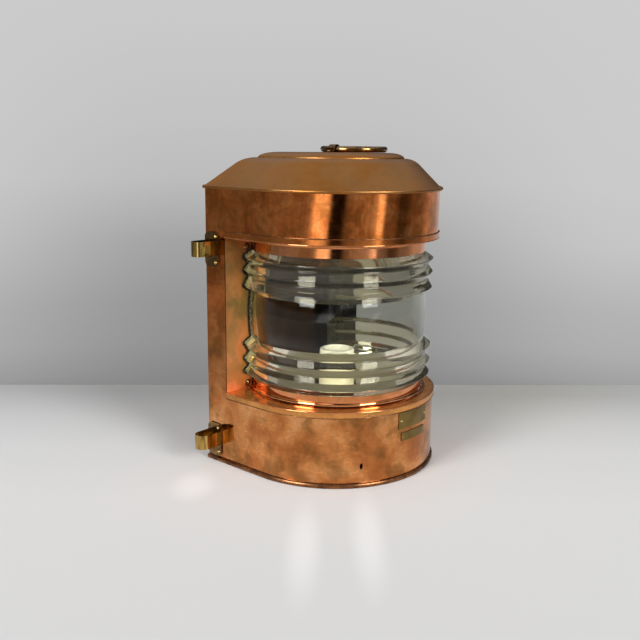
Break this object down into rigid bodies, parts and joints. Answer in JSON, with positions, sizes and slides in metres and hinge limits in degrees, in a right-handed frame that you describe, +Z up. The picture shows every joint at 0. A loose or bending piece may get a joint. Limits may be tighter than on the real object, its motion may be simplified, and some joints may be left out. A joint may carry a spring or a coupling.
{
  "type": "navigation lantern",
  "caption": "Half-round copper ship's lantern with a stepped drum lens, hinged rear door, lifting ring on the roof cap and strap loops for a bracket.",
  "frame": {"origin": "centre of the half-round front, on the floor plane under the foot", "axes": "-Y to the front of the lens, +Z up, the rear door looks along +Y"},
  "size_m": [0.368, 0.2879, 0.4636],
  "materials": {
    "copper": "polished copper, mottled",
    "tarnished_copper": "satin copper with a brown tarnish",
    "brass": "polished brass",
    "dark_brass": "aged dark brass",
    "plate_brass": "dull brass plate",
    "lens_glass": "clear pressed glass",
    "black_rubber": "black rubber, glossy",
    "porcelain": "white glazed porcelain"
  },
  "bodies": {
    "casing": {"body_shell": "copper", "foot_bead": "tarnished_copper", "bottom_plate": "tarnished_copper", "base_top_plate": "tarnished_copper", "hood_floor_plate": "copper", "lower_lens_collar": "copper", "upper_lens_collar": "copper", "left_wing_panel": "copper", "right_wing_panel": "copper", "lens": "lens_glass", "lower_lens_seat": "black_rubber", "upper_lens_seat": "black_rubber", "left_lens_gasket": "black_rubber", "right_lens_gasket": "black_rubber", "left_lens_retainer": "brass", "right_lens_retainer": "brass", "panel_screws": "brass", "panel_nuts": "brass", "roof": "tarnished_copper", "roof_cap": "tarnished_copper", "ring_saddle": "brass", "saddle_rivets": "brass", "upper_left_loop": "brass", "upper_right_loop": "brass", "lower_left_loop": "brass", "lower_right_loop": "brass", "upper_left_loop_plate": "brass", "upper_right_loop_plate": "brass", "lower_left_loop_plate": "brass", "lower_right_loop_plate": "brass", "loop_rivets": "brass", "back_frame": "copper", "upper_frame_leaf": "brass", "lower_frame_leaf": "brass", "hinge_pins": "brass", "frame_leaf_rivets": "brass", "button_studs": "brass", "lamp_holder": "porcelain", "holder_shell": "brass", "centre_contact": "brass", "holder_screws": "brass", "gland_body": "brass", "gland_lock_nut": "brass", "gland_cap_nut": "brass", "gland_washer": "black_rubber", "large_name_plate": "plate_brass", "small_name_plate": "plate_brass", "name_plate_screws": "brass"},
    "door": {"rear_door": "copper", "door_seal": "black_rubber", "upper_door_leaf": "brass", "lower_door_leaf": "brass", "door_leaf_rivets": "brass"},
    "ring": {"lifting_ring": "dark_brass"},
    "upper_button": {"upper_turn_button": "brass"},
    "lower_button": {"lower_turn_button": "brass"}
  },
  "joints": [
    {"name": "rear_door_hinge", "type": "hinge", "parent": "casing", "child": "door", "pos_m": [0.1197, 0.1186, 0.253], "axis": [0, 0, -1], "range_deg": [0, 110]},
    {"name": "lifting_ring_swing", "type": "hinge", "parent": "casing", "child": "ring", "pos_m": [0, 0.005, 0.45695], "axis": [0, -1, 0], "range_deg": [0, 180]},
    {"name": "upper_button_turn", "type": "hinge", "parent": "casing", "child": "upper_button", "pos_m": [-0.125, 0.1216, 0.3235], "axis": [0, -1, 0], "range_deg": [0, 90]},
    {"name": "lower_button_turn", "type": "hinge", "parent": "casing", "child": "lower_button", "pos_m": [-0.125, 0.1216, 0.1825], "axis": [0, -1, 0], "range_deg": [0, 90]}
  ]
}
